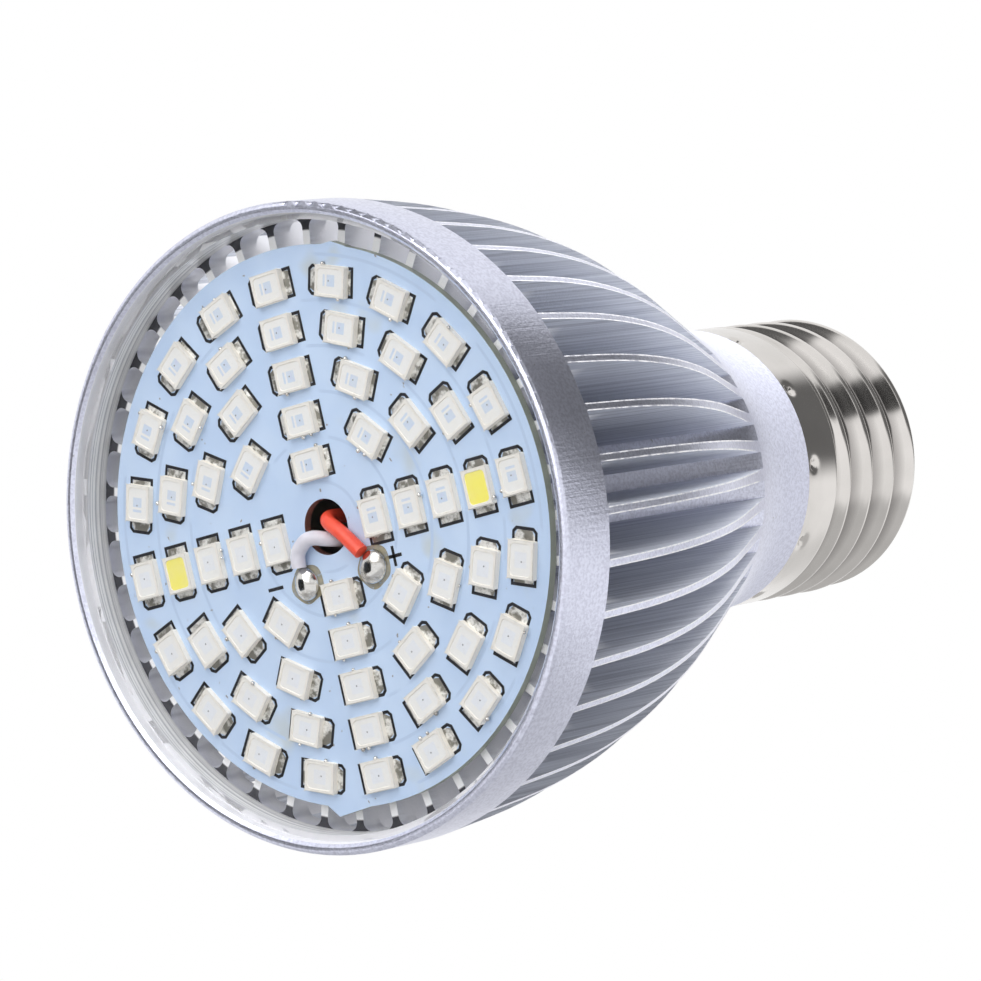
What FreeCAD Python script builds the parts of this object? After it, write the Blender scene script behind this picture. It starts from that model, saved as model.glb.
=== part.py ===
import FreeCAD, Part
import Sketcher
import math
import os
from types import SimpleNamespace

# LED grow light bulb. An extruded and turned aluminium bell carries a round board of sixty
# surface-mounted LEDs behind a clear disc; a plastic housing in its core holds the driver
# and carries the screw cap. The bulb stands on its front ring: z = 0 is the ring's front
# face, the axis is Z, and the cap is at the top.

# Every size of the bulb: millimetres, degrees or a plain count
SIZES = {
    # Heat sink, front ring
    "ring_radius": 28.0,
    "rim_wall": 1.0,
    "ledge_width": 0.6,
    "ring_depth": 2.2,
    "lip_round": 0.45,
    "lip_chamfer": 0.3,
    # Heat sink, fins
    "fin_count": 40,
    "fin_start_angle": -2.4,
    "fin_tip_thickness": 0.72,
    "fin_root_thickness": 1.05,
    "ring_fillet": 0.8,
    "band_overlap": 0.4,
    "gap_overshoot": 1.0,
    "core_wall": 4.4,
    # Heat sink, turned bell and neck
    "shoulder_inset": 1.62,
    "shoulder_height": 23.9,
    "shoulder_round": 74.0,
    "bell_length": 26.0,
    "throat_flare": 0.6,
    "throat_round": 34.0,
    "neck_length": 6.4,
    "neck_wall": 1.3,
    "neck_step": 0.1,
    # Clear front cover
    "cover_recess": 0.3,
    "cover_thickness": 1.0,
    "cover_play": 0.1,
    "cover_chamfer": 0.15,
    # LED board and the paste under it
    "board_margin": 2.2,
    "board_thickness": 0.8,
    "board_hole_radius": 2.43,
    "tab_root": 0.7,
    "large_tab_angle": 90.9,
    "large_tab_reach": 0.85,
    "large_tab_steep_side": 1.25,
    "large_tab_long_side": 5.0,
    "small_tab_angle": -84.5,
    "small_tab_reach": 0.3,
    "small_tab_steep_side": 1.6,
    "small_tab_long_side": 3.4,
    "paste_thickness": 0.1,
    "paste_inset": 1.6,
    "paste_hole_margin": 1.0,
    # LED packages
    "led_length": 3.5,
    "led_width": 2.8,
    "led_height": 0.75,
    "leds_in_first_ring": 4,
    "led_first_radius": 5.8,
    "led_ring_step": 3.9,
    "led_edge_margin": 2.8,
    "led_start_angle": -12.1,
    # Solder joints of the two leads
    "joint_radius": 1.1,
    "joint_height": 0.95,
    "joint_round": 0.8,
    "positive_joint_across": 5.0,
    "positive_joint_along": 3.25,
    "negative_joint_across": -2.43,
    "negative_joint_along": 4.85,
    # Leads
    "lead_radius": 0.65,
    "lead_play": 0.05,
    "lead_headroom": 0.15,
    "lead_spread": 1.6,
    "lead_foot": 3.5,
    "cap_lead_spread": 2.4,
    "cap_lead_foot": 4.0,
    # Driver housing
    "housing_play": 0.2,
    "housing_wall": 1.2,
    "housing_start": 9.0,
    "flange_thickness": 0.15,
    "flange_inset": 0.25,
    "collar_play": 0.15,
    "collar_length": 3.6,
    "nose_play": 0.3,
    "nose_gap": 4.7,
    "housing_step": 1.0,
    # Screw cap
    "cap_radius": 13.2,
    "cap_wall": 0.25,
    "skirt_length": 4.4,
    "thread_depth": 1.07,
    "thread_pitch": 3.629,
    "thread_run_in": 2.25,
    "thread_length": 11.2,
    "thread_width": 2.6,
    "thread_crest_width": 1.0,
    "thread_run_out": 1.7,
    "shoulder_rise": 1.4,
    "inner_bevel": 0.9,
    "shell_end_width": 2.53,
    # Insulator and centre contact
    "insulator_flange": 1.2,
    "insulator_lap": 0.6,
    "insulator_rise": 5.3,
    "contact_margin": 0.8,
    "contact_radius": 5.0,
    "contact_thickness": 1.2,
    "contact_bevel": 0.5,
    "rivet_radius": 2.0,
    # Driver board
    "driver_thickness": 1.2,
    "driver_play": 0.25,
    "driver_start": 20.0,
    "driver_length": 34.0,
    # Parts on the driver board: places along the board, then sizes
    "transformer_place": 6.0,
    "transformer_length": 11.0,
    "transformer_width": 10.0,
    "transformer_headroom": 2.6,
    "transformer_yoke": 2.2,
    "transformer_leg": 3.4,
    "transformer_side_leg": 1.5,
    "winding_play": 0.15,
    "winding_crown": 0.75,
    "fuse_gap": 3.0,
    "fuse_length": 7.0,
    "fuse_radius": 1.5,
    "output_capacitor_place": 2.0,
    "output_capacitor_length": 12.5,
    "output_capacitor_headroom": 2.0,
    "capacitor_gap": 2.0,
    "input_capacitor_length": 11.0,
    "input_capacitor_radius": 3.15,
    "capacitor_bevel": 0.4,
    "output_capacitor_across": 1.0,
    "input_capacitor_across": 2.0,
    "chip_place": 4.0,
    "chip_inset": 2.1,
    "chip_length": 4.9,
    "chip_width": 3.9,
    "chip_height": 1.5,
    "rectifier_gap": 1.5,
    "rectifier_length": 4.0,
    "rectifier_width": 4.7,
    "rectifier_height": 1.5,
}

doc = FreeCAD.newDocument("grow_light_bulb")
sheet = doc.addObject("Spreadsheet::Sheet", "Sizes")
for row, (alias, number) in enumerate(SIZES.items(), start=1):
    sheet.set(f"A{row}", alias)
    sheet.set(f"B{row}", str(number))
    sheet.setAlias(f"B{row}", alias)
doc.recompute()


class Size:
    """A number together with the sheet expression that gives it."""

    def __init__(self, number, text):
        self.number = float(number)
        self.text = text

    def __add__(self, other):
        other = as_size(other)
        return Size(self.number + other.number, f"({self.text} + {other.text})")

    def __sub__(self, other):
        other = as_size(other)
        return Size(self.number - other.number, f"({self.text} - {other.text})")

    def __mul__(self, other):
        other = as_size(other)
        return Size(self.number * other.number, f"({self.text} * {other.text})")

    def __truediv__(self, other):
        other = as_size(other)
        return Size(self.number / other.number, f"({self.text} / {other.text})")

    def __neg__(self):
        return Size(-self.number, f"(0 - {self.text})")


def as_size(value):
    return value if isinstance(value, Size) else Size(value, str(value))


def sine(angle):
    return Size(math.sin(math.radians(angle.number)), f"sin({angle.text})")


dim = SimpleNamespace(**{name: Size(number, f"Sizes.{name}") for name, number in SIZES.items()})
zero = Size(0, "0")

# Radii that several pieces share, from the ring inward and from the cap outward
cover_seat_radius = dim.ring_radius - dim.rim_wall
ledge_radius = cover_seat_radius - dim.ledge_width
board_radius = ledge_radius - dim.board_margin
neck_radius = dim.cap_radius + dim.neck_step
chamber_radius = neck_radius - dim.neck_wall
core_radius = chamber_radius + dim.core_wall
housing_radius = chamber_radius - dim.housing_play
housing_inner_radius = housing_radius - dim.housing_wall
thread_root_radius = dim.cap_radius - dim.thread_depth
shell_inner_radius = thread_root_radius - dim.cap_wall
shell_hole_radius = thread_root_radius - dim.shell_end_width

# Places along the axis that several pieces share
cover_ledge = dim.cover_recess + dim.cover_thickness
board_front = cover_ledge + dim.lead_headroom + dim.lead_radius * 2 + dim.lead_play
board_rear = board_front + dim.board_thickness
fin_plane = board_rear + dim.paste_thickness
band_end = fin_plane + dim.ring_depth
throat_height = dim.shoulder_height + dim.bell_length
neck_end = throat_height + dim.neck_length
cap_rim = neck_end + dim.flange_thickness
skirt_end = cap_rim + dim.skirt_length
thread_start = skirt_end + dim.thread_run_in
shell_end = thread_start + dim.thread_length + dim.thread_run_out
nose_end = shell_end - dim.nose_gap
insulator_start = shell_end - dim.cap_wall - dim.insulator_flange
insulator_end = shell_end + dim.insulator_rise
contact_end = insulator_end + dim.contact_thickness

# The driver board stands in the plane y = 0
driver_face = dim.driver_thickness / 2
driver_end = dim.driver_start + dim.driver_length


def make_body(label):
    body = doc.addObject("PartDesign::Body", label)
    body.Label = label
    return body


def origin_feature(body, role):
    return next(item for item in body.Origin.OriginFeatures if item.Role == role)


def make_sketch(body, name, role, height=None, turn=None):
    """A sketch on one of the body's own planes, lifted by height and turned by turn."""
    sketch = body.newObject("Sketcher::SketchObject", name)
    sketch.AttachmentSupport = [(origin_feature(body, role), "")]
    sketch.MapMode = "FlatFace"
    if turn is not None:
        axis = FreeCAD.Vector(0, 0, 1)
        sketch.AttachmentOffset = FreeCAD.Placement(FreeCAD.Vector(), FreeCAD.Rotation(axis, 1))
        sketch.setExpression("AttachmentOffset.Rotation.Angle", turn.text)
    if height is not None:
        sketch.setExpression("AttachmentOffset.Base.z", height.text)
    return sketch


def bind_point(sketch, geometry, end, across, along):
    """Holds a point of the sketch at two named distances from its origin."""
    for kind, axis, value in (("DistanceX", -2, across), ("DistanceY", -1, along)):
        if value is zero:
            sketch.addConstraint(Sketcher.Constraint("PointOnObject", geometry, end, axis))
            continue
        index = sketch.addConstraint(
            Sketcher.Constraint(kind, -1, 1, geometry, end, value.number))
        sketch.setExpression(f"Constraints[{index}]", value.text)


# A rounding takes at most this share of the shorter line beside it
LONGEST_CUT = 0.9


def draw_outline(sketch, corners):
    """A closed outline. A corner is (across, along), or has a rounding radius as third."""
    count = len(corners)
    spots = [FreeCAD.Vector(corner[0].number, corner[1].number, 0) for corner in corners]
    before, after = [], []
    for i, corner in enumerate(corners):
        to_last = (spots[i - 1] - spots[i]).normalize()
        to_next = (spots[(i + 1) % count] - spots[i]).normalize()
        cut = 0.0
        if len(corner) == 3:
            cut = corner[2].number / math.tan(to_last.getAngle(to_next) / 2)
            shorter = min(spots[i].distanceToPoint(spots[i - 1]),
                          spots[i].distanceToPoint(spots[(i + 1) % count]))
            share = min(1.0, LONGEST_CUT * shorter / cut)
            if share < 1.0:
                corners[i] = (corner[0], corner[1], corner[2] * round(share, 4))
                cut *= round(share, 4)
        before.append(spots[i] + to_last * cut)
        after.append(spots[i] + to_next * cut)
    lines = []
    for i in range(count):
        segment = Part.LineSegment(after[i], before[(i + 1) % count])
        lines.append(sketch.addGeometry(segment, False))
    for i, corner in enumerate(corners):
        last, next_line = lines[i - 1], lines[i]
        if len(corner) == 2:
            sketch.addConstraint(Sketcher.Constraint("Coincident", last, 2, next_line, 1))
            bind_point(sketch, next_line, 1, corner[0], corner[1])
            continue
        round_corner(sketch, last, next_line, before[i], after[i], spots[i], corner)


def round_corner(sketch, last, next_line, start, end, spot, corner):
    """An arc tangent to both lines, whose sharp corner stays where it is named."""
    inward = ((start - spot).normalize() + (end - spot).normalize()).normalize()
    half = (start - spot).getAngle(inward)
    centre = spot + inward * ((start - spot).Length / math.cos(half))
    middle = centre - inward * corner[2].number
    arc = sketch.addGeometry(Part.Arc(start, middle, end), False)
    turns_left = (spot - start).cross(end - spot).z > 0
    arc_start, arc_end = (1, 2) if turns_left else (2, 1)
    sketch.addConstraint(Sketcher.Constraint("Tangent", last, 2, arc, arc_start))
    sketch.addConstraint(Sketcher.Constraint("Tangent", arc, arc_end, next_line, 1))
    index = sketch.addConstraint(Sketcher.Constraint("Radius", arc, corner[2].number))
    sketch.setExpression(f"Constraints[{index}]", corner[2].text)
    point = sketch.addGeometry(Part.Point(spot), True)
    sketch.addConstraint(Sketcher.Constraint("PointOnObject", point, 1, last))
    sketch.addConstraint(Sketcher.Constraint("PointOnObject", point, 1, next_line))
    bind_point(sketch, point, 1, corner[0], corner[1])


def revolve(body, name, corners):
    """A solid of revolution about Z whose half section is given as radius and height."""
    sketch = make_sketch(body, name + "_section", "XZ_Plane")
    draw_outline(sketch, corners)
    feature = body.newObject("PartDesign::Revolution", name)
    feature.Profile = sketch
    feature.ReferenceAxis = (sketch, ["V_Axis"])
    feature.Angle = 360.0
    body.Tip = feature
    return feature


def extrude(body, name, kind, sketch, length, upward=True):
    """A Pad or a Pocket of the given length, upward or downward from its sketch."""
    feature = body.newObject(f"PartDesign::{kind}", name)
    feature.Profile = sketch
    feature.Type = "Length"
    feature.setExpression("Length", length.text)
    feature.Reversed = upward if kind == "Pocket" else not upward
    body.Tip = feature
    return feature


def make_heat_sink():
    """One extrusion with forty fins and a closed outer ring, turned to a bell.

    The lathe leaves the closed ring only as a band at the front, bores the seats of the
    cover and the board, and takes the fins down to a smooth neck.
    """
    body = make_body("heat_sink")
    shoulder_radius = dim.ring_radius - dim.shoulder_inset
    revolve(body, "turned_bell", [
        (cover_seat_radius + dim.lip_chamfer, zero),
        (dim.ring_radius, zero, dim.lip_round),
        (dim.ring_radius, band_end),
        (shoulder_radius, dim.shoulder_height, dim.shoulder_round),
        (neck_radius + dim.throat_flare, throat_height, dim.throat_round),
        (neck_radius, neck_end),
        (chamber_radius, neck_end),
        (chamber_radius, fin_plane),
        (ledge_radius, fin_plane),
        (ledge_radius, cover_ledge),
        (cover_seat_radius, cover_ledge),
        (cover_seat_radius, dim.lip_chamfer),
    ])
    # The gap between two fins widens outward; its sides and its floor stay straight
    half_pitch = sine(as_size(180) / dim.fin_count)
    root_half = core_radius * half_pitch - dim.fin_root_thickness / 2
    tip_half = ledge_radius * half_pitch - dim.fin_tip_thickness / 2
    widening = (tip_half - root_half) / (ledge_radius - core_radius)
    outside = dim.ring_radius + dim.gap_overshoot
    outside_half = root_half + widening * (outside - core_radius)
    gap_angle = dim.fin_start_angle + as_size(180) / dim.fin_count
    # Inside the band the gap is closed by the ring, with rounded corners
    closed = make_sketch(body, "closed_gap", "XY_Plane", fin_plane, gap_angle)
    draw_outline(closed, [
        (core_radius, -root_half),
        (ledge_radius, -tip_half, dim.ring_fillet),
        (ledge_radius, tip_half, dim.ring_fillet),
        (core_radius, root_half),
    ])
    inner_cut = extrude(body, "gap_in_band", "Pocket", closed, dim.ring_depth + dim.band_overlap)
    # Behind the band the gap is open to the outside, up to the neck
    opened = make_sketch(body, "open_gap", "XY_Plane", band_end, gap_angle)
    draw_outline(opened, [
        (core_radius, -root_half),
        (outside, -outside_half),
        (outside, outside_half),
        (core_radius, root_half),
    ])
    outer_cut = extrude(body, "gap_behind_band", "Pocket", opened, neck_end - band_end)
    gaps = body.newObject("PartDesign::PolarPattern", "all_gaps")
    gaps.Originals = [inner_cut, outer_cut]
    gaps.Axis = (origin_feature(body, "Z_Axis"), [""])
    gaps.Angle = 360.0
    gaps.setExpression("Occurrences", dim.fin_count.text)
    body.Tip = gaps
    return body


def make_front_cover():
    """Clear disc with broken edges, held in the front ring's seat."""
    body = make_body("front_cover")
    edge = cover_seat_radius - dim.cover_play
    revolve(body, "disc", [
        (zero, dim.cover_recess),
        (edge - dim.cover_chamfer, dim.cover_recess),
        (edge, dim.cover_recess + dim.cover_chamfer),
        (edge, cover_ledge),
        (zero, cover_ledge),
    ])
    return body


def make_led_board():
    """Round aluminium-backed board with a wire hole and two snapped-off break tabs."""
    body = make_body("led_board")
    revolve(body, "disc", [
        (dim.board_hole_radius, board_front),
        (board_radius, board_front),
        (board_radius, board_rear),
        (dim.board_hole_radius, board_rear),
    ])
    add_break_tab(body, "large_tab", dim.large_tab_angle, dim.large_tab_reach,
                  dim.large_tab_steep_side, dim.large_tab_long_side)
    add_break_tab(body, "small_tab", dim.small_tab_angle, dim.small_tab_reach,
                  dim.small_tab_steep_side, dim.small_tab_long_side)
    return body


def add_break_tab(body, name, angle, reach, steep_side, long_side):
    """A low wedge on the rim: steep where the blank was snapped, long on the other side."""
    root = board_radius - dim.tab_root
    sketch = make_sketch(body, name + "_outline", "XY_Plane", board_front, angle)
    draw_outline(sketch, [
        (root, -long_side),
        (board_radius + reach, zero),
        (board_radius, steep_side),
        (root, steep_side),
    ])
    extrude(body, name, "Pad", sketch, dim.board_thickness)


def make_thermal_paste():
    """Thin ring of heat-conducting paste between the board and the fins."""
    body = make_body("thermal_paste")
    inner = chamber_radius + dim.paste_hole_margin
    outer = board_radius - dim.paste_inset
    revolve(body, "ring", [
        (inner, board_rear),
        (outer, board_rear),
        (outer, fin_plane),
        (inner, fin_plane),
    ])
    return body


def make_box(name, length, width, height, across, deep, up):
    """A block with its lowest corner at (across, deep, up)."""
    box = doc.addObject("Part::Box", name)
    for prop, value in (("Length", length), ("Width", width), ("Height", height),
                        ("Placement.Base.x", across), ("Placement.Base.y", deep),
                        ("Placement.Base.z", up)):
        box.setExpression(prop, value.text)
    return box


def led_package():
    """One square-edged package, its foot on the board and its long side along Y."""
    package = Part.makeBox(SIZES["led_width"], SIZES["led_length"], SIZES["led_height"])
    package.translate(FreeCAD.Vector(-SIZES["led_width"] / 2, -SIZES["led_length"] / 2,
                                     board_front.number - SIZES["led_height"]))
    return package


def led_ring_count():
    """As many rings as the board has room for, one step apart."""
    room = board_radius.number - SIZES["led_edge_margin"] - SIZES["led_first_radius"]
    return int(room / SIZES["led_ring_step"] + 1e-6) + 1


def led_places():
    """Ring number, place in its ring and angle of every LED, ring by ring."""
    for ring in range(led_ring_count()):
        count = int(SIZES["leds_in_first_ring"]) * (ring + 1)
        for place in range(count):
            yield ring, place, SIZES["led_start_angle"] + 360.0 * place / count


def led_colour(ring, place, angle):
    """Two white packages face each other in the ring before the last; blue fill the top."""
    count = int(SIZES["leds_in_first_ring"]) * (ring + 1)
    if ring == led_ring_count() - 2 and place % (count // 2) == 0:
        return "leds_white"
    return "leds_red" if 0 < angle < 180 else "leds_blue"


def make_led_groups():
    """Sixty packages in five rings, long side along the ring, one node for each colour."""
    package = led_package()
    groups = {"leds_red": [], "leds_blue": [], "leds_white": []}
    for ring, place, angle in led_places():
        radius = SIZES["led_first_radius"] + ring * SIZES["led_ring_step"]
        copy = package.copy()
        copy.translate(FreeCAD.Vector(radius, 0, 0))
        copy.rotate(FreeCAD.Vector(), FreeCAD.Vector(0, 0, 1), angle)
        groups[led_colour(ring, place, angle)].append(copy)
    nodes = []
    for label, solids in groups.items():
        group = doc.addObject("Part::Feature", label)
        group.Label = label
        group.Shape = Part.makeCompound(solids)
        group.Placement = FreeCAD.Placement()
        nodes.append(group)
    return nodes


def make_solder_joint(label, across, along):
    """A rounded button of solder on the board's face."""
    body = make_body(label)
    revolve(body, "button", [
        (zero, board_front),
        (dim.joint_radius, board_front),
        (dim.joint_radius, board_front - dim.joint_height, dim.joint_round),
        (zero, board_front - dim.joint_height),
    ])
    body.setExpression("Placement.Base.x", across.text)
    body.setExpression("Placement.Base.y", along.text)
    return body


def make_driver_housing():
    """White plastic tube: body in the core, flange on the neck, nose in the cap."""
    body = make_body("driver_housing")
    collar_radius = dim.cap_radius - dim.cap_wall - dim.collar_play
    collar_end = cap_rim + dim.collar_length
    nose_radius = shell_inner_radius - dim.nose_play
    nose_inner = nose_radius - dim.housing_wall
    revolve(body, "tube", [
        (housing_inner_radius, dim.housing_start),
        (housing_radius, dim.housing_start),
        (housing_radius, neck_end),
        (neck_radius - dim.flange_inset, neck_end),
        (neck_radius - dim.flange_inset, cap_rim),
        (collar_radius, cap_rim),
        (collar_radius, collar_end),
        (nose_radius, collar_end + dim.housing_step),
        (nose_radius, nose_end),
        (nose_inner, nose_end),
        (nose_inner, cap_rim + dim.housing_step),
        (housing_inner_radius, cap_rim),
    ])
    return body


def make_cap_shell():
    """Plated sheet cap: smooth skirt on the neck, rolled thread, drawn-in end."""
    body = make_body("cap_shell")
    taper = dim.thread_depth
    revolve(body, "drawn_shell", [
        (dim.cap_radius, cap_rim),
        (dim.cap_radius, skirt_end),
        (thread_root_radius, skirt_end + taper),
        (thread_root_radius, shell_end, dim.shoulder_rise),
        (shell_hole_radius, shell_end),
        (shell_hole_radius, shell_end - dim.cap_wall),
        (shell_inner_radius - dim.inner_bevel, shell_end - dim.cap_wall),
        (shell_inner_radius, shell_end - dim.cap_wall - dim.inner_bevel),
        (shell_inner_radius, skirt_end + taper),
        (dim.cap_radius - dim.cap_wall, skirt_end),
        (dim.cap_radius - dim.cap_wall, cap_rim),
    ])
    # The thread stands out of the shell as one ridge, wound as a right-hand screw
    ridge = make_sketch(body, "ridge_section", "XZ_Plane")
    base = thread_root_radius - dim.cap_wall / 2
    crest_half = dim.thread_crest_width / 2
    draw_outline(ridge, [
        (base, thread_start - dim.thread_width / 2),
        (dim.cap_radius, thread_start - crest_half),
        (dim.cap_radius, thread_start + crest_half),
        (base, thread_start + dim.thread_width / 2),
    ])
    thread = body.newObject("PartDesign::AdditiveHelix", "rolled_thread")
    thread.Profile = ridge
    thread.ReferenceAxis = (ridge, ["V_Axis"])
    thread.Mode = "pitch-height-angle"
    thread.setExpression("Pitch", dim.thread_pitch.text)
    thread.setExpression("Height", dim.thread_length.text)
    body.Tip = thread
    return body


def make_cap_insulator():
    """Black disc that closes the shell and keeps the contact apart from it."""
    body = make_body("cap_insulator")
    flange_radius = shell_hole_radius + dim.insulator_lap
    revolve(body, "plug", [
        (dim.rivet_radius, insulator_start),
        (flange_radius, insulator_start),
        (flange_radius, shell_end - dim.cap_wall),
        (shell_hole_radius, shell_end - dim.cap_wall),
        (shell_hole_radius, shell_end),
        (dim.contact_radius + dim.contact_margin, insulator_end),
        (dim.rivet_radius, insulator_end),
    ])
    return body


def make_centre_contact():
    """Plated brass button whose shank runs through the insulator."""
    body = make_body("centre_contact")
    revolve(body, "button", [
        (zero, insulator_start),
        (dim.rivet_radius, insulator_start),
        (dim.rivet_radius, insulator_end),
        (dim.contact_radius, insulator_end),
        (dim.contact_radius, contact_end - dim.contact_bevel),
        (dim.contact_radius - dim.contact_bevel, contact_end),
        (zero, contact_end),
    ])
    return body


def make_driver_board():
    """Upright board that slides into the housing, in the plane y = 0."""
    half = housing_inner_radius - dim.driver_play
    board = make_box("driver_board", half * 2, dim.driver_thickness, dim.driver_length,
                     -half, -driver_face, dim.driver_start)
    board.Label = "driver_board"
    return board


def make_transformer():
    """Ferrite core of two E halves, and the taped winding round its middle leg."""
    along = dim.driver_start + dim.transformer_place
    width, length = dim.transformer_width, dim.transformer_length
    height = housing_inner_radius - driver_face - dim.transformer_headroom
    block = make_box("core_block", width, height, length,
                     -(width / 2), driver_face, along)
    window_width = (width - dim.transformer_leg) / 2 - dim.transformer_side_leg
    window_length = length - dim.transformer_yoke * 2
    cuts = [block]
    for name, across in (("left_window", -(width / 2) + dim.transformer_side_leg),
                         ("right_window", dim.transformer_leg / 2)):
        cuts.append(make_box(name, window_width, height, window_length,
                             across, driver_face, along + dim.transformer_yoke))
    windows = doc.addObject("Part::Fuse", "core_windows")
    windows.Base, windows.Tool = cuts[1], cuts[2]
    core = doc.addObject("Part::Cut", "transformer_core")
    core.Label = "transformer_core"
    core.Base, core.Tool = block, windows
    # The winding fills the two windows and stands a little proud over the middle leg
    play = dim.winding_play
    pieces = []
    for name, across in (("left_turns", -(width / 2) + dim.transformer_side_leg + play),
                         ("right_turns", dim.transformer_leg / 2 + play)):
        pieces.append(make_box(name, window_width - play * 2, height,
                               window_length - play * 2, across, driver_face,
                               along + dim.transformer_yoke + play))
    bridge_start = -(width / 2) + dim.transformer_side_leg + play
    bridge = make_box("front_turns", bridge_start * -2, dim.winding_crown,
                      window_length - play * 2, bridge_start, driver_face + height,
                      along + dim.transformer_yoke + play)
    winding = doc.addObject("Part::MultiFuse", "transformer_winding")
    winding.Label = "transformer_winding"
    winding.Shapes = pieces + [bridge]
    return [core, winding]


def make_capacitor(label, place, length, radius, across):
    """Electrolytic can lying along the rear of the driver board."""
    bevel = dim.capacitor_bevel
    body = make_body(label)
    revolve(body, "can", [
        (zero, zero),
        (radius - bevel, zero),
        (radius, bevel),
        (radius, length - bevel),
        (radius - bevel, length),
        (zero, length),
    ])
    body.setExpression("Placement.Base.x", across.text)
    body.setExpression("Placement.Base.y", (-(driver_face + radius)).text)
    body.setExpression("Placement.Base.z", (dim.driver_start + place).text)
    return body


def make_fuse_resistor():
    """Coated fusible resistor lying along the front of the driver board."""
    fuse = doc.addObject("Part::Cylinder", "fuse_resistor")
    fuse.Label = "fuse_resistor"
    fuse.setExpression("Radius", dim.fuse_radius.text)
    fuse.setExpression("Height", dim.fuse_length.text)
    fuse.setExpression("Placement.Base.y", (driver_face + dim.fuse_radius).text)
    transformer_end = dim.driver_start + dim.transformer_place + dim.transformer_length
    fuse.setExpression("Placement.Base.z", (transformer_end + dim.fuse_gap).text)
    return fuse


def make_chips(rectifier_place):
    """Control chip and bridge rectifier, flat on the rear of the driver board."""
    chip = make_box("control_chip", dim.chip_width, dim.chip_height, dim.chip_length,
                    housing_inner_radius - dim.chip_inset - dim.chip_width,
                    -(driver_face + dim.chip_height),
                    dim.driver_start + dim.chip_place)
    chip.Label = "control_chip"
    rectifier = make_box("bridge_rectifier", dim.rectifier_width, dim.rectifier_height,
                         dim.rectifier_length, -(dim.rectifier_width / 2),
                         -(driver_face + dim.rectifier_height),
                         dim.driver_start + rectifier_place)
    rectifier.Label = "bridge_rectifier"
    return [chip, rectifier]


def lead_path(points):
    """Straight runs joined by tangent arcs, each as large as its two runs allow."""
    spots = [FreeCAD.Vector(*point) for point in points]
    edges, radii = [], []
    last = spots[0]
    for before, corner, after in zip(spots, spots[1:], spots[2:]):
        back, ahead = before - corner, after - corner
        half_turn = (math.pi - back.getAngle(ahead)) / 2
        cut = 0.45 * min(back.Length, ahead.Length)
        radius = cut / math.tan(half_turn)
        start = corner + back.normalize() * cut
        end = corner + ahead.normalize() * cut
        inward = (back + ahead).normalize()
        middle = corner + inward * (radius / math.cos(half_turn) - radius)
        edges.append(Part.LineSegment(last, start).toShape())
        edges.append(Part.Arc(start, middle, end).toShape())
        radii.append(round(radius, 2))
        last = end
    edges.append(Part.LineSegment(last, spots[-1]).toShape())
    return Part.Wire(edges), radii


def make_lead(label, points):
    """Insulated lead: a round tube of plastic over its wire, on a path of soft bends."""
    wire, radii = lead_path(points)
    start = FreeCAD.Vector(*points[0])
    heading = FreeCAD.Vector(*points[1]) - start
    ring = Part.Wire([Part.Circle(start, heading, SIZES["lead_radius"]).toShape()])
    tube = wire.makePipeShell([ring], True, False)
    section = math.pi * SIZES["lead_radius"] ** 2
    print(label, "bend radii", radii, "volume ratio",
          round(tube.Volume / (section * wire.Length), 4))
    lead = doc.addObject("Part::Feature", label)
    lead.Label = label
    lead.Shape = tube
    lead.Placement = FreeCAD.Placement()
    return lead


def make_leads():
    """Two leads rise through the board's hole to its joints; two more run to the cap."""
    radius = SIZES["lead_radius"]
    face = driver_face.number + radius
    on_board = board_front.number - radius - SIZES["lead_play"]
    hole = board_rear.number
    foot = SIZES["driver_start"] + SIZES["lead_foot"]
    spread = SIZES["lead_spread"]
    positive = make_lead("lead_positive", [
        (-spread, face, foot),
        (-spread, face, foot - 7.0),
        (-0.3, -0.75, hole + 5.0),
        (-0.3, -0.75, hole - 0.85),
        (2.3, 0.42, on_board - 0.02),
        (SIZES["positive_joint_across"] - 0.7, SIZES["positive_joint_along"] - 1.2, on_board),
    ])
    negative = make_lead("lead_negative", [
        (spread, face, foot),
        (spread, face, foot - 8.0),
        (0.75, 1.25, hole + 5.0),
        (0.6, 1.15, hole - 0.45),
        (-1.55, 0.8, on_board - 0.05),
        (-2.85, 2.2, on_board),
        (SIZES["negative_joint_across"] - 0.3, SIZES["negative_joint_along"] - 1.35, on_board),
    ])
    top = driver_end.number
    tail = top - SIZES["cap_lead_foot"]
    spread = SIZES["cap_lead_spread"]
    over_rim = nose_end.number + SIZES["nose_play"] + radius
    shank = insulator_start.number - SIZES["lead_play"]
    live = make_lead("lead_live", [
        (spread, face, tail),
        (spread, face, (top + over_rim) / 2 - 5.0),
        (0.0, 0.0, (top + over_rim) / 2 + 2.0),
        (0.0, 0.0, shank),
    ])
    reach = math.sqrt(shell_inner_radius.number ** 2 - (face + radius) ** 2)
    shell_wall = reach - SIZES["lead_play"]
    neutral = make_lead("lead_neutral", [
        (-spread, face, tail),
        (-spread, face, over_rim - 9.0),
        (-spread - 3.0, face, over_rim),
        (-shell_wall, face, over_rim),
    ])
    return [positive, negative, live, neutral]


def check_and_write(nodes):
    """Stops on any failed object or bad shape, then writes one STEP file for each node."""
    doc.recompute()
    for item in doc.Objects:
        if "Invalid" in item.State or "Error" in item.State:
            raise RuntimeError(f"{item.Name} failed: {item.State}")
    os.makedirs("parts", exist_ok=True)
    for node in nodes:
        shape = node.Shape
        if shape.isNull() or not shape.isValid() or not shape.Solids:
            raise RuntimeError(f"{node.Label} has no sound shape")
    for node in nodes:
        node.Shape.exportStep(os.path.join("parts", node.Label + ".step"))
        print(node.Label, len(node.Shape.Solids), "solids", round(node.Shape.Volume, 1))


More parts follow.
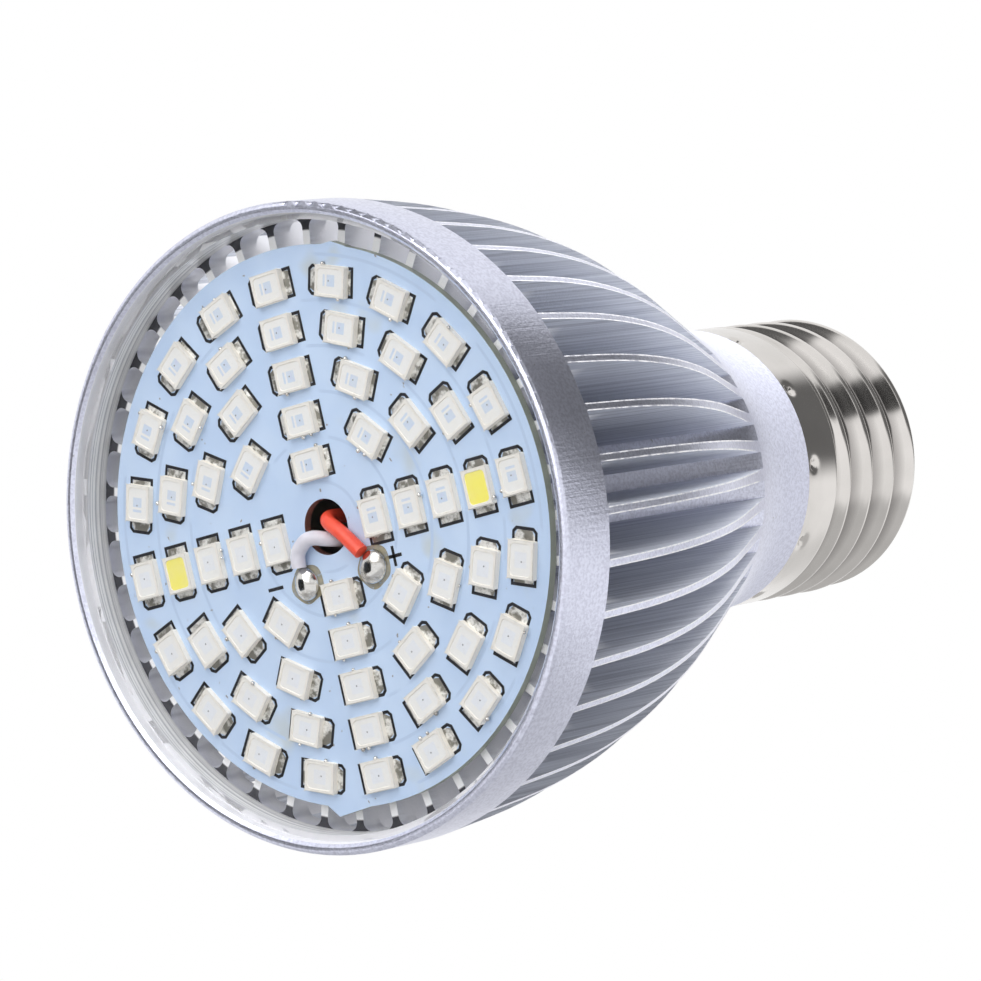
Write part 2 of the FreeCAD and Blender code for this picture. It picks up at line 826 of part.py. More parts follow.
output_capacitor_radius = (housing_inner_radius - driver_face
                           - dim.output_capacitor_headroom) / 2
input_capacitor_place = (dim.output_capacitor_place + dim.output_capacitor_length
                         + dim.capacitor_gap)
rectifier_place = input_capacitor_place + dim.input_capacitor_length + dim.rectifier_gap
parts = [
    make_heat_sink(),
    make_front_cover(),
    make_led_board(),
    make_thermal_paste(),
    *make_led_groups(),
    make_solder_joint("solder_joint_positive", dim.positive_joint_across,
                      dim.positive_joint_along),
    make_solder_joint("solder_joint_negative", dim.negative_joint_across,
                      dim.negative_joint_along),
    make_driver_housing(),
    make_cap_shell(),
    make_cap_insulator(),
    make_centre_contact(),
    make_driver_board(),
    *make_transformer(),
    make_capacitor("output_capacitor", dim.output_capacitor_place,
                   dim.output_capacitor_length, output_capacitor_radius,
                   -dim.output_capacitor_across),
    make_capacitor("input_capacitor", input_capacitor_place, dim.input_capacitor_length,
                   dim.input_capacitor_radius, dim.input_capacitor_across),
    make_fuse_resistor(),
    *make_chips(rectifier_place),
    *make_leads(),
]
check_and_write(parts)
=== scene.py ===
import math
import random

import bmesh
import bpy
from mathutils import Matrix, Vector


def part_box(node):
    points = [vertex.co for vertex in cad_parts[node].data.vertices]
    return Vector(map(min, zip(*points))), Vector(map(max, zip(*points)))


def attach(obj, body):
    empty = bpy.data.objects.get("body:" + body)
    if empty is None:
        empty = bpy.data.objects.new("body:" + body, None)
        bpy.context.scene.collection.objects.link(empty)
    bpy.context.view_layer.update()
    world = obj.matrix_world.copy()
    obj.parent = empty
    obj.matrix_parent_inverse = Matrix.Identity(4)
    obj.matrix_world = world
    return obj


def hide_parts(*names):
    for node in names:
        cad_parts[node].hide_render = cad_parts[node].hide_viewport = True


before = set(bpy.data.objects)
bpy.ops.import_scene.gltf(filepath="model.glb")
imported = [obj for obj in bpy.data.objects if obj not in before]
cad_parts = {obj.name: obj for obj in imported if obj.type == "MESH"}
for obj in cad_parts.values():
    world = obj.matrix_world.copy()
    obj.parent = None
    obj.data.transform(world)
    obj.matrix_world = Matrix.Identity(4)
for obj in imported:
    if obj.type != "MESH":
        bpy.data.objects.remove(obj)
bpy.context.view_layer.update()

scene = bpy.context.scene
scene.view_settings.view_transform = "Standard"
MM = 0.001

# The camera. The bulb's axis is turned 38 degrees from the line of sight, so the camera
# looks up at the clear front from below and to one side. A long lens keeps it flat.
photo_width = 981
focal_pixels = 4840.97
sensor_width = 36.0
nearest_seen = 0.01
axis_swing = 0.6707
axis_dip = -0.0924
front_centre_seen = Vector((-15.788, 3.368, 412.0)) * MM

axis_seen = Vector((math.sin(axis_swing) * math.cos(axis_dip), math.sin(axis_dip),
                    math.cos(axis_swing) * math.cos(axis_dip)))
across_seen = Vector((0, 1, 0)).cross(axis_seen).normalized()
down_seen = axis_seen.cross(across_seen)
seen_to_part = Matrix((across_seen, down_seen, axis_seen))
camera_data = bpy.data.cameras.new("camera")
camera_data.sensor_width = sensor_width
camera_data.lens = focal_pixels * sensor_width / photo_width
camera_data.clip_start = nearest_seen
camera = bpy.data.objects.new("camera", camera_data)
scene.collection.objects.link(camera)
camera_place = -(seen_to_part @ front_centre_seen)
camera_turn = seen_to_part @ Matrix.Diagonal((1, -1, -1))
camera.matrix_world = Matrix.Translation(camera_place) @ camera_turn.to_4x4()
scene.camera = camera

# The studio. A white tent lights the bulb softly from all sides. The main soft box stands at
# the upper left of the camera, two others fill in from the lower right and from above, and
# boards that show only in the metal give it its dark bands.
tent_light = 0.49
key_power = 1.85
fill_power = 1.05
top_power = 2.9
lamp_target = Vector((0, 0, 0.03))
board_target = Vector((0, 0, 0.04))
white = (1, 1, 1, 1)


def add_node(tree, kind, inputs=None, **settings):
    """A shader node with its settings and inputs; an input may be a value or a socket."""
    made = tree.nodes.new(kind)
    for setting, value in settings.items():
        setattr(made, setting, value)
    for key, value in (inputs or {}).items():
        if isinstance(value, bpy.types.NodeSocket):
            tree.links.new(value, made.inputs[key])
        else:
            made.inputs[key].default_value = value
    return made


def math_node(tree, operation, first, *others, **settings):
    """A sum on values or sockets, which runs on from left to right over more than two."""
    for other in others or (0.0,):
        first = add_node(tree, "ShaderNodeMath", {0: first, 1: other}, operation=operation,
                         **settings).outputs[0]
    return first


def vector_node(tree, operation, first, second=(0, 0, 0)):
    """A sum on vectors; the node is given back, because its result may be a number."""
    return add_node(tree, "ShaderNodeVectorMath", {0: first, 1: second}, operation=operation)


def map_range(tree, value, low, high, to_low=0.0, to_high=1.0, curve="LINEAR"):
    """A value carried from one range over to another, and held at its ends."""
    return add_node(tree, "ShaderNodeMapRange", {
        "Value": value, "From Min": low, "From Max": high,
        "To Min": to_low, "To Max": to_high}, interpolation_type=curve).outputs[0]


def mix_colours(tree, share, first, second):
    """The first colour where the share is nought and the second where it is one."""
    mixed = add_node(tree, "ShaderNodeMix", {0: share, 6: first, 7: second}, data_type="RGBA")
    return mixed.outputs[2]


def object_place(tree):
    """The shaded point in the frame of its own object."""
    return add_node(tree, "ShaderNodeTexCoord").outputs["Object"]


def bare_tree(owner):
    """The node tree of a material or world, emptied."""
    owner.use_nodes = True
    owner.node_tree.nodes.clear()
    return owner.node_tree


def link_mesh(name, shape):
    """Makes the shape an object of the scene."""
    data = bpy.data.meshes.new(name)
    shape.to_mesh(data)
    shape.free()
    made = bpy.data.objects.new(name, data)
    scene.collection.objects.link(made)
    return made


def seen_point(across, down, ahead):
    """A point given in millimetres right of, below and ahead of the camera."""
    return seen_to_part @ (Vector((across, down, ahead)) * MM - front_centre_seen)


def aim(thing, place, target):
    """Stands a lamp or board at a place with its face towards the target."""
    turn = (target - place).to_track_quat("-Z", "Y")
    thing.matrix_world = Matrix.Translation(place) @ turn.to_matrix().to_4x4()


def add_soft_box(name, place, size, power, mirrored=True):
    """A square soft box, which the metal shows as a highlight only if it is mirrored."""
    data = bpy.data.lights.new(name, "AREA")
    data.size = size
    data.energy = power
    lamp = bpy.data.objects.new(name, data)
    scene.collection.objects.link(lamp)
    aim(lamp, place, lamp_target)
    lamp.visible_glossy = mirrored


def add_board(name, place, width, height, grey, soft=0.3):
    """A grey board that only shows in reflections, fading to white towards its edges."""
    shape = bmesh.new()
    bmesh.ops.create_grid(shape, x_segments=1, y_segments=1, size=0.5)
    bmesh.ops.scale(shape, verts=shape.verts, vec=(width, height, 1))
    board = link_mesh(name, shape)
    aim(board, place, board_target)
    paint = bpy.data.materials.new(name)
    tree = bare_tree(paint)
    shares = vector_node(tree, "MULTIPLY", object_place(tree), (2 / width, 2 / height, 0))
    shares = vector_node(tree, "ABSOLUTE", shares.outputs[0])
    apart = add_node(tree, "ShaderNodeSeparateXYZ", {0: shares.outputs[0]}).outputs
    outermost = math_node(tree, "MAXIMUM", apart["X"], apart["Y"])
    fade = map_range(tree, outermost, 1 - soft, 1.0, curve="SMOOTHSTEP")
    tone = mix_colours(tree, fade, (grey, grey, grey, 1), white)
    glow = add_node(tree, "ShaderNodeEmission", {"Color": tone})
    add_node(tree, "ShaderNodeOutputMaterial", {"Surface": glow.outputs[0]})
    board.data.materials.append(paint)
    board.visible_camera = False
    board.visible_diffuse = False
    board.visible_shadow = False
    board.visible_transmission = False


world = bpy.data.worlds.new("tent")
scene.world = world
tree = bare_tree(world)
path = add_node(tree, "ShaderNodeLightPath").outputs
shows_white = math_node(tree, "MAXIMUM", path["Is Camera Ray"], path["Is Glossy Ray"],
                        path["Is Transmission Ray"])
strength = map_range(tree, shows_white, 0, 1, tent_light, 1.0)
tent = add_node(tree, "ShaderNodeBackground", {"Color": white, "Strength": strength})
add_node(tree, "ShaderNodeOutputWorld", {"Surface": tent.outputs[0]})

add_soft_box("key_light", seen_point(-260, -260, 120), size=0.5, power=key_power)
add_soft_box("fill_light", seen_point(300, 250, 120), size=0.9, power=fill_power, mirrored=False)
add_soft_box("top_light", seen_point(90, -420, 400), size=0.5, power=top_power, mirrored=False)
add_board("dark_board_right", seen_point(535, -262, 560), width=0.64, height=1.1, grey=0.15,
          soft=0.45)
add_board("dark_board_behind", seen_point(300, -380, -40), width=0.36, height=0.6, grey=0.06)
add_board("dark_board_left", seen_point(-520, 80, 320), width=0.34, height=0.38, grey=0.02)
add_board("dark_board_top", seen_point(-165, -567, 537), width=0.5, height=0.4, grey=0.12)
add_board("grey_board_low", seen_point(60, 500, 480), width=1.6, height=1.6, grey=0.6)

# The floor. It shows only to a camera above it, where it keeps the bulb's shadow and fades
# out round it. From below it is clear, because the bulb's lit front faces down.
floor_size = 0.6
floor_colour = (0.9, 0.9, 0.9, 1)
floor_glow = 0.42
fade_start = 0.05
fade_end = 0.14

shape = bmesh.new()
bmesh.ops.create_grid(shape, x_segments=1, y_segments=1, size=floor_size / 2)
floor = link_mesh("floor", shape)
floor_paint = bpy.data.materials.new("floor_paint")
tree = bare_tree(floor_paint)
path = add_node(tree, "ShaderNodeLightPath").outputs
behind = add_node(tree, "ShaderNodeNewGeometry").outputs["Backfacing"]
from_above = math_node(tree, "SUBTRACT", path["Is Camera Ray"], behind, use_clamp=True)
distance = vector_node(tree, "LENGTH", object_place(tree)).outputs["Value"]
near = map_range(tree, distance, fade_start, fade_end, 1.0, 0.0, curve="SMOOTHSTEP")
shown = math_node(tree, "MULTIPLY", from_above, near)
clear = add_node(tree, "ShaderNodeBsdfTransparent")
matt = add_node(tree, "ShaderNodeBsdfDiffuse", {"Color": floor_colour})
glow = add_node(tree, "ShaderNodeEmission", {"Color": white, "Strength": floor_glow})
paper = add_node(tree, "ShaderNodeAddShader", {0: matt.outputs[0], 1: glow.outputs[0]})
mixed = add_node(tree, "ShaderNodeMixShader", {
    0: shown, 1: clear.outputs[0], 2: paper.outputs[0]})
add_node(tree, "ShaderNodeOutputMaterial", {"Surface": mixed.outputs[0]})
floor.data.materials.append(floor_paint)

# The heat sink is one aluminium extrusion, turned on a lathe to a bell and blasted to an
# even satin. Its fin sides keep the long streaks of the extrusion, its cut edges small nicks.
sharp_fold = math.radians(24)
fin_count = 40
fin_start = math.radians(-2.4)
fin_plane = 3.7 * MM
fin_plane_margin = 0.05 * MM
fin_radii = (17 * MM, 26.4 * MM)
fin_half_widths = (0.52 * MM, 0.36 * MM)
painted_highlight_widths = (0.10 * MM, 0.15 * MM)
painted_highlight_radii = (17.2 * MM, 18.2 * MM)
seat_heights = (0.28 * MM, 1.36 * MM)
seat_radii = (26.2 * MM, 27.05 * MM)
web_radii = (25.35 * MM, 25.5 * MM)
band_rear = 5.9 * MM
band_rear_edge = 0.2 * MM
band_inside_top = 9 * MM
band_inside_fade = 1.5 * MM
band_inside_radii = (26.5 * MM, 26.6 * MM)
# Painted light: the fin sides grow paler between these heights
painted_light_heights = (7 * MM, 36 * MM)
matt_neck_heights = (43 * MM, 49 * MM)
rough_neck_heights = (46 * MM, 52 * MM)
metal_relief = 0.03 * MM
turned_grey = (0.77, 0.79, 0.93, 1)
turned_grain = (0.55, 0.56, 0.68, 1)
nick_grey = (0.46, 0.46, 0.50, 1)
# Painted highlight on the fins' outer edges
painted_edge_highlight = (0.98, 0.98, 1.0, 1)
# Painted light: the inside of the band is painted paler than the same metal outside it
painted_lit_turned_inside = (0.95, 0.95, 0.98, 1)
extruded_grey = (0.66, 0.69, 0.77, 1)
dull_grey = (0.38, 0.395, 0.45, 1)
# Paler fin-side colours for the painted light towards the neck
painted_lit_streak = (0.92, 0.94, 1.0, 1)
painted_lit_streak_dull = (0.66, 0.69, 0.78, 1)
painted_lit_extruded_inside = (0.93, 0.93, 0.96, 1)
bore_ring = (0.62, 0.62, 0.65, 1)
seat_grey = (0.80, 0.80, 0.83, 1)
fin_front = (0.95, 0.95, 0.97, 1)
# Near black: painted shade on the web between the fins and the ring
web_painted_shade = (0.05, 0.05, 0.06, 1)


def new_material(name, constants=None):
    """A material and its shader, with the constants on the shader's own sockets."""
    material = bpy.data.materials.new(name)
    material.use_nodes = True
    tree = material.node_tree
    shader = tree.nodes["Principled BSDF"]
    for socket, value in (constants or {}).items():
        shader.inputs[socket].default_value = value
    return material, tree, shader


def object_noise(tree, scale, detail=3.0, roughness=0.55):
    """Noise on Object coordinates; scale is a number or three, in features per metre."""
    stretch = scale if isinstance(scale, tuple) else (scale, scale, scale)
    mapped = add_node(tree, "ShaderNodeMapping", {"Vector": object_place(tree), "Scale": stretch})
    return add_node(tree, "ShaderNodeTexNoise", {
        "Vector": mapped.outputs[0], "Scale": 1.0, "Detail": detail,
        "Roughness": roughness}).outputs[0]


def between(tree, value, low, high, soft=0.00002):
    """One inside the range and nought outside it."""
    above = map_range(tree, value, low - soft, low + soft)
    below = map_range(tree, value, high - soft, high + soft, 1.0, 0.0)
    return math_node(tree, "MULTIPLY", above, below)


def off_axis(tree, place):
    """The way outwards from the bulb's axis to a place, and how far it is."""
    level = vector_node(tree, "MULTIPLY", place, (1, 1, 0)).outputs[0]
    return level, vector_node(tree, "LENGTH", level).outputs["Value"]


def upward_share(tree):
    """How far the surface faces up, minus one on the bulb's front."""
    normal = add_node(tree, "ShaderNodeNewGeometry").outputs["Normal"]
    return add_node(tree, "ShaderNodeSeparateXYZ", {0: normal}).outputs["Z"]


def add_bump(tree, shader, height, strength, distance, under=None):
    """Relief drawn from a pattern, on top of an earlier relief if one is given."""
    inputs = {"Strength": strength, "Distance": distance, "Height": height}
    if under:
        inputs["Normal"] = under
    relief = add_node(tree, "ShaderNodeBump", inputs).outputs[0]
    tree.links.new(relief, shader.inputs["Normal"])
    return relief


def shade_smooth(shape, fold=None):
    """Shades smoothly all over, or up to the edges that fold more than is given."""
    for face in shape.faces:
        face.smooth = True
    if fold is not None:
        for edge in shape.edges:
            edge.smooth = edge.calc_face_angle(0) < fold


def smooth_copy(node):
    """A welded copy of a CAD node that shades smoothly between its real edges."""
    shape = bmesh.new()
    shape.from_mesh(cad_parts[node].data)
    bmesh.ops.remove_doubles(shape, verts=shape.verts, dist=1e-6)
    bmesh.ops.dissolve_degenerate(shape, dist=1e-7, edges=shape.edges)
    shade_smooth(shape, sharp_fold)
    return shape


def add_piece(name, shape, finishes, replaces=()):
    """Makes the shape a piece of the part, riding on its body."""
    piece = link_mesh(name, shape)
    for finish in finishes:
        piece.data.materials.append(finish)
    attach(piece, "root")
    if replaces:
        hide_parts(*replaces)


def make_aluminium():
    material, tree, shader = new_material("satin_aluminium")
    place = object_place(tree)
    spread = add_node(tree, "ShaderNodeSeparateXYZ", {0: place}).outputs
    height = spread["Z"]
    level, reach = off_axis(tree, place)
    outward = vector_node(tree, "NORMALIZE", level).outputs[0]
    normal = add_node(tree, "ShaderNodeNewGeometry").outputs["Normal"]
    facing = vector_node(tree, "DOT_PRODUCT", outward, normal).outputs["Value"]
    upright = upward_share(tree)
    turned = math_node(tree, "MAXIMUM", math_node(tree, "ABSOLUTE", facing),
                       math_node(tree, "ABSOLUTE", upright))
    turned = map_range(tree, turned, 0.3, 0.6)
    streaks = object_noise(tree, (4800, 4800, 26), 4.0, 0.65)
    broad = object_noise(tree, (160, 160, 60), 2.0)
    grain = object_noise(tree, 3400, 2.0, 0.6)
    nicks = object_noise(tree, 1500, 3.0, 0.7)
    # Where the surface lies: seat of the cover, bore above it, front of the fins, web that
    # joins them, painted near black as shade, and inside of the band, painted pale as lit
    front_low, front_high = fin_plane - fin_plane_margin, fin_plane + fin_plane_margin
    seat = math_node(tree, "MULTIPLY", between(tree, height, *seat_heights),
                     between(tree, reach, *seat_radii))
    bore = math_node(tree, "MULTIPLY", between(tree, height, seat_heights[1], front_low),
                     map_range(tree, facing, -0.5, -0.8))
    front = math_node(tree, "MULTIPLY", between(tree, height, front_low, front_high),
                      map_range(tree, upright, -0.7, -0.9))
    painted_shade_web = math_node(tree, "MULTIPLY", front, map_range(tree, reach, *web_radii))
    painted_lit_inside = math_node(tree, "MULTIPLY",
                       between(tree, height, fin_plane, band_inside_top, band_inside_fade),
                       map_range(tree, reach, *band_inside_radii, 1.0, 0.0))
    # Painted highlight lines along both edges of each fin's outer face
    turn = math_node(tree, "ARCTAN2", spread["Y"], spread["X"])
    share = math_node(tree, "MULTIPLY", math_node(tree, "SUBTRACT", turn, fin_start),
                      fin_count / math.tau)
    share = math_node(tree, "FRACT", math_node(tree, "ADD", share, fin_count + 0.5))
    share = math_node(tree, "ABSOLUTE", math_node(tree, "SUBTRACT", share, 0.5))
    aside = math_node(tree, "MULTIPLY", share, math.tau / fin_count, reach)
    half = map_range(tree, reach, *fin_radii, *fin_half_widths)
    edge = map_range(tree, math_node(tree, "SUBTRACT", half, aside), *painted_highlight_widths, 1.0, 0.0)
    edge = math_node(tree, "MULTIPLY", edge, map_range(tree, facing, 0.5, 0.7),
                     map_range(tree, height, band_rear, band_rear + band_rear_edge),
                     map_range(tree, reach, *painted_highlight_radii),
                     map_range(tree, nicks, 0.42, 0.54, 0.35, 1.0))
    # Lathe rings in the bore, drawn by distance from the axis and height
    ring_place = add_node(tree, "ShaderNodeCombineXYZ", {0: reach, 2: height})
    rings = add_node(tree, "ShaderNodeTexNoise", {
        "Vector": ring_place.outputs[0], "Scale": 3600.0, "Detail": 2.0}).outputs[0]
    ringed = mix_colours(tree, map_range(tree, rings, 0.44, 0.54), bore_ring, white)
    # Sides of the fins, with painted light: paler towards the neck
    streak_share = map_range(tree, streaks, 0.36, 0.64)
    streaked = mix_colours(tree, streak_share, dull_grey, extruded_grey)
    painted_lit_sides = mix_colours(tree, streak_share, painted_lit_streak_dull, painted_lit_streak)
    painted_light = math_node(tree, "MULTIPLY", map_range(tree, height, *painted_light_heights),
                     map_range(tree, broad, 0.3, 0.7, 0.6, 1.0))
    streaked = mix_colours(tree, painted_light, streaked, painted_lit_sides)
    # Painted light: fin sides inside the band are painted pale
    streaked = mix_colours(tree, painted_lit_inside, streaked, painted_lit_extruded_inside)
    # Turned faces
    nicked = mix_colours(tree, map_range(tree, nicks, 0.68, 0.74), turned_grey, nick_grey)
    nicked = mix_colours(tree, map_range(tree, grain, 0.4, 0.62, 0, 0.6), nicked, turned_grain)
    # Painted highlight on the edges of each fin's outer face
    nicked = mix_colours(tree, edge, nicked, painted_edge_highlight)
    # Painted light: turned faces inside the band are painted pale
    nicked = mix_colours(tree, painted_lit_inside, nicked, painted_lit_turned_inside)
    whole = mix_colours(tree, turned, streaked, nicked)
    for share, colour in ((bore, ringed), (seat, seat_grey), (front, fin_front), (painted_shade_web, web_painted_shade)):
        whole = mix_colours(tree, share, whole, colour)
    tree.links.new(whole, shader.inputs["Base Color"])
    plain = math_node(tree, "MAXIMUM", seat, bore, painted_lit_inside, front,
                      math_node(tree, "MULTIPLY", edge, 0.85))
    metal = math_node(tree, "MULTIPLY", map_range(tree, turned, 0, 1, 0.45, 1.0),
                      map_range(tree, plain, 0, 1, 1.0, 0.1),
                      map_range(tree, height, *matt_neck_heights, 1.0, 0.45))
    tree.links.new(metal, shader.inputs["Metallic"])
    rough = math_node(tree, "ADD", map_range(tree, turned, 0, 1, 0.45, 0.29),
                      map_range(tree, height, *rough_neck_heights, 0, 0.25))
    tree.links.new(rough, shader.inputs["Roughness"])
    streak_relief = add_bump(tree, shader, streaks, 0.5, metal_relief)
    add_bump(tree, shader, grain, 0.7, metal_relief, streak_relief)
    return material


add_piece("heat_sink_bell", smooth_copy("heat_sink"), [make_aluminium()],
          ["heat_sink"])

# The LED board is a thin aluminium-backed disc under a pale blue solder mask. Its cut edge
# and its drilled hole show the bare laminate.
board_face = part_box("led_board")[0].z
first_ring_radius = 5.8 * MM
ring_step = 3.9 * MM
first_track_radius = first_ring_radius + ring_step / 2
track_half_width = (0.03, 0.045)
hole_side_radii = (10 * MM, 11 * MM)
mask_relief = 0.02 * MM
mask_blue = (0.50, 0.635, 0.85, 1)
mask_cloud = (0.55, 0.68, 0.88, 1)
mask_speck = (0.64, 0.75, 0.91, 1)
mask_stain = (0.52, 0.52, 0.42, 1)
track_blue = (0.47, 0.595, 0.795, 1)
dust_brown = (0.22, 0.17, 0.12, 1)
hole_side = (0.26, 0.13, 0.10, 1)
rim_side = (0.33, 0.36, 0.30, 1)


def make_mask():
    material, tree, shader = new_material("pale_blue_mask", {"Roughness": 0.42})
    cloud = object_noise(tree, 220)
    speckle = object_noise(tree, 4200, 2.0, 0.7)
    stain = object_noise(tree, 150, 2.0)
    dust = object_noise(tree, 1300, 2.0, 0.4)
    tinted = mix_colours(tree, map_range(tree, cloud, 0.35, 0.65), mask_blue, mask_cloud)
    tinted = mix_colours(tree, map_range(tree, speckle, 0.6, 0.8, 0, 0.35), tinted, mask_speck)
    tinted = mix_colours(tree, map_range(tree, stain, 0.66, 0.76, 0, 0.45), tinted, mask_stain)
    # Copper under the mask shows as faint lines between the rings of packages
    _, reach = off_axis(tree, object_place(tree))
    step = math_node(tree, "DIVIDE", math_node(tree, "SUBTRACT", reach, first_track_radius),
                     ring_step)
    share = math_node(tree, "FRACT", math_node(tree, "ADD", step, 3.5))
    gap = math_node(tree, "ABSOLUTE", math_node(tree, "SUBTRACT", share, 0.5))
    track = map_range(tree, gap, *track_half_width, 1.0, 0.0)
    laid = map_range(tree, object_noise(tree, 120, 1.0), 0.51, 0.53)
    tinted = mix_colours(tree, math_node(tree, "MULTIPLY", track, laid), tinted, track_blue)
    tinted = mix_colours(tree, map_range(tree, dust, 0.755, 0.78, 0, 0.75), tinted, dust_brown)
    cut = map_range(tree, upward_share(tree), -0.9, -0.5)
    outer = map_range(tree, reach, *hole_side_radii)
    laminate = mix_colours(tree, outer, hole_side, rim_side)
    tree.links.new(mix_colours(tree, cut, tinted, laminate), shader.inputs["Base Color"])
    add_bump(tree, shader, speckle, 0.12, mask_relief)
    return material


def dress(node, material):
    """Gives its finish to a CAD node that keeps its own shape."""
    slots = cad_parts[node].data.materials
    slots.clear()
    slots.append(material)


dress("led_board", make_mask())

# Each LED package is moulded cream plastic with a shallow resin window over its chip. It
# sits on two tinned lands inside a printed black outline with one end chamfered.
package_length = 3.3 * MM
package_width = 2.74 * MM
package_height = 0.6 * MM
package_corner = 0.14 * MM
package_rim = 0.05 * MM
window_margin = 0.26 * MM
window_corner = 0.38 * MM
window_slope = 0.05 * MM
window_depth = 0.08 * MM
window_floor = board_face - package_height + window_depth
blue_chip = (1.0 * MM, 0.85 * MM)
blue_chip_along = 0.1 * MM
blue_strip = (1.0 * MM, 0.22 * MM)
blue_strip_along = -0.65 * MM
blue_chip_rise = 0.004 * MM
pale_chip = (1.25 * MM, 1.35 * MM)
pale_chip_rise = 0.003 * MM
wire_end = (0.13 * MM, 0.13 * MM)
wire_end_rise = 0.008 * MM
window_entry, blue_chip_entry, wire_end_entry, pale_chip_entry = 1, 2, 3, 4
ring_count = 5
packages_per_ring_step = 4
first_angle = math.radians(-12.1)
pattern_shift = (0.05 * MM, 0.3 * MM, 0)
white_ring = 3
white_spacing = 8
blue_side = 0.05
resin_relief = 0.02 * MM
package_tint = (0.78, 0.74, 0.67, 1)
package_side = (1.0, 0.94, 0.84, 1)


def led_places():
    """Ring, place in the ring, radius and angle of each package."""
    for ring in range(ring_count):
        count = packages_per_ring_step * (ring + 1)
        radius = first_ring_radius + ring * ring_step
        for place in range(count):
            yield ring, place, radius, first_angle + math.tau * place / count


def led_kind(ring, place, angle):
    """Two packages are white; the others are blue or red by the side that they are on."""
    if ring == white_ring and place % white_spacing == 0:
        return "white"
    return "blue" if math.sin(angle) < blue_side else "red"


def turn_about_axis(shape, verts, angle):
    """Turns part of a mesh about the bulb's axis."""
    bmesh.ops.rotate(shape, verts=verts, cent=(0, 0, 0), matrix=Matrix.Rotation(angle, 3, "Z"))


def settle(shape, verts, radius, angle):
    """Moves a package's mesh from the axis to its place on the board."""
    bmesh.ops.translate(shape, verts=verts, vec=(radius, 0, 0))
    turn_about_axis(shape, verts, angle)
    bmesh.ops.translate(shape, verts=verts, vec=pattern_shift)


def pour_into(whole, part):
    """Adds a finished mesh to a larger one."""
    carried = bpy.data.meshes.new("carried")
    part.to_mesh(carried)
    part.free()
    whole.from_mesh(carried)
    bpy.data.meshes.remove(carried)


def add_block(shape, width, length, low, high, material_index=0, centre=(0, 0)):
    """A block between two heights, its middle at centre."""
    made = bmesh.ops.create_cube(shape, size=1)["verts"]
    bmesh.ops.scale(shape, verts=made, vec=(width, length, high - low))
    bmesh.ops.translate(shape, verts=made, vec=(centre[0], centre[1], (low + high) / 2))
    for face in {face for vert in made for face in vert.link_faces}:
        face.material_index = material_index
    return made


def add_package(shape):
    """One package on the axis: a block with a window in its front and softened edges."""
    top = board_face - package_height
    made = add_block(shape, package_width, package_length, top, board_face)
    front = min({face for vert in made for face in vert.link_faces},
                key=lambda face: face.calc_center_median().z)
    bmesh.ops.inset_region(shape, faces=[front], thickness=window_margin, use_even_offset=True)
    bmesh.ops.bevel(shape, geom=list(front.verts), offset=window_corner, segments=3, profile=0.5,
                    affect="VERTICES", material=-1)
    front = min(shape.faces, key=lambda face: face.calc_center_median().xy.length
                + abs(face.calc_center_median().z - top) * 9)
    bmesh.ops.inset_region(shape, faces=[front], thickness=window_slope, depth=-window_depth,
                           use_even_offset=True)
    front.material_index = window_entry
    upright = [edge for edge in shape.edges
               if abs(edge.verts[0].co.z - edge.verts[1].co.z) > package_height / 2]
    bmesh.ops.bevel(shape, geom=upright, offset=package_corner, segments=2, profile=0.5,
                    affect="EDGES", material=-1)
    rim = [edge for edge in shape.edges
           if edge.is_manifold and all(abs(vert.co.z - top) < 1e-8 for vert in edge.verts)
           and edge.calc_face_angle() > math.radians(60)]
    bmesh.ops.bevel(shape, geom=rim, offset=package_rim, segments=1, profile=0.5,
                    affect="EDGES", material=-1)


def add_patch(shape, size, rise, material_index, centre):
    """A thin patch that stands on the window's floor."""
    add_block(shape, *size, window_floor - rise, window_floor, material_index, centre)


def make_packages():
    chance = random.Random(7)
    shapes = {kind: bmesh.new() for kind in ("red", "blue", "white")}
    for ring, place, radius, angle in led_places():
        kind = led_kind(ring, place, angle)
        single = bmesh.new()
        add_package(single)
        if kind == "blue":
            across = chance.uniform(-0.1, 0.1) * MM
            for size, along in ((blue_chip, blue_chip_along), (blue_strip, blue_strip_along)):
                add_patch(single, size, blue_chip_rise, blue_chip_entry, (across, along))
        if kind == "red":
            add_patch(single, pale_chip, pale_chip_rise, pale_chip_entry,
                      (0, chance.uniform(-0.1, 0.1) * MM))
        if kind != "white":
            add_patch(single, wire_end, wire_end_rise, wire_end_entry,
                      (chance.uniform(-0.1, 0.1) * MM, chance.uniform(-0.2, 0.2) * MM))
        settle(single, single.verts, radius, angle + math.radians(chance.uniform(-0.8, 0.8)))
        pour_into(shapes[kind], single)
    return shapes


def make_package_finish(name, colour, grain_colour):
    material, tree, shader = new_material(name, {"Roughness": 0.5})
    grain = object_noise(tree, 2600, 3.0, 0.65)
    broad = object_noise(tree, 300, 2.0)
    tinted = mix_colours(tree, map_range(tree, grain, 0.52, 0.75, 0, 0.7), colour, grain_colour)
    tinted = mix_colours(tree, map_range(tree, broad, 0.4, 0.7, 0, 0.25), tinted, package_tint)
    side = map_range(tree, upward_share(tree), -0.7, -0.2)
    tree.links.new(mix_colours(tree, side, tinted, package_side), shader.inputs["Base Color"])
    add_bump(tree, shader, grain, 0.15, resin_relief)
    return material


